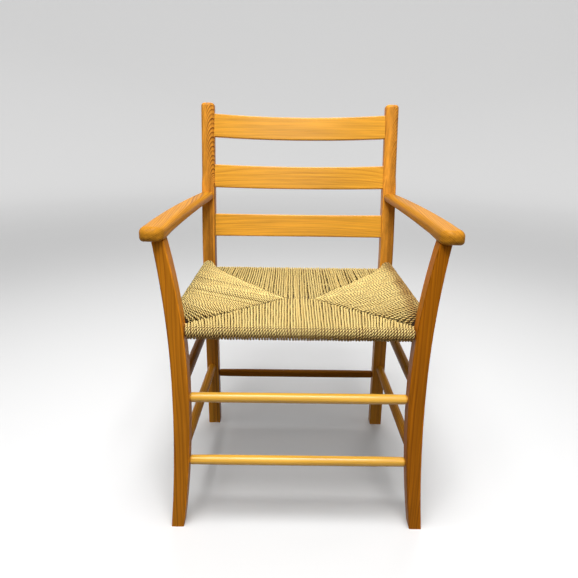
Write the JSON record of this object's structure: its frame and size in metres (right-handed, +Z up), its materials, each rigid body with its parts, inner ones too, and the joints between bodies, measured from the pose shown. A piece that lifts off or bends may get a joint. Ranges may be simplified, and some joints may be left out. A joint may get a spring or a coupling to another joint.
{
  "type": "ladder-back armchair",
  "caption": "Pine ladder-back armchair with bowed front legs, flat curved arms, bent slats, turned stretchers and an envelope-woven cord seat.",
  "frame": {"origin": "on the floor under the middle of the chair's outer box", "axes": "+Z up, the sitter faces -Y, +X to the right as seen from the front"},
  "size_m": [0.5608, 0.5294, 0.8296],
  "materials": {
    "leg_pine": "oiled pine, amber, satin",
    "arm_pine": "oiled pine, worn smooth",
    "slat_pine": "oiled pine, golden, satin",
    "rail_pine": "bare pine, hidden",
    "stretcher_pine": "turned pine, satin",
    "seat_cord": "two-ply twisted cord"
  },
  "bodies": {
    "root": {"back_post_left": "leg_pine", "back_post_right": "leg_pine", "front_leg_left": "leg_pine", "front_leg_right": "leg_pine", "arm_left": "arm_pine", "arm_right": "arm_pine", "slat_top": "slat_pine", "slat_middle": "slat_pine", "slat_bottom": "slat_pine", "seat_rail_front": "rail_pine", "seat_rail_back": "rail_pine", "seat_rail_left": "rail_pine", "seat_rail_right": "rail_pine", "front_stretcher_upper": "stretcher_pine", "front_stretcher_lower": "stretcher_pine", "back_stretcher": "stretcher_pine", "side_stretcher_upper_left": "stretcher_pine", "side_stretcher_upper_right": "stretcher_pine", "side_stretcher_lower_left": "stretcher_pine", "side_stretcher_lower_right": "stretcher_pine", "seat_weave_front": "seat_cord", "seat_weave_back": "seat_cord", "seat_weave_left": "seat_cord", "seat_weave_right": "seat_cord"}
  },
  "joints": []
}
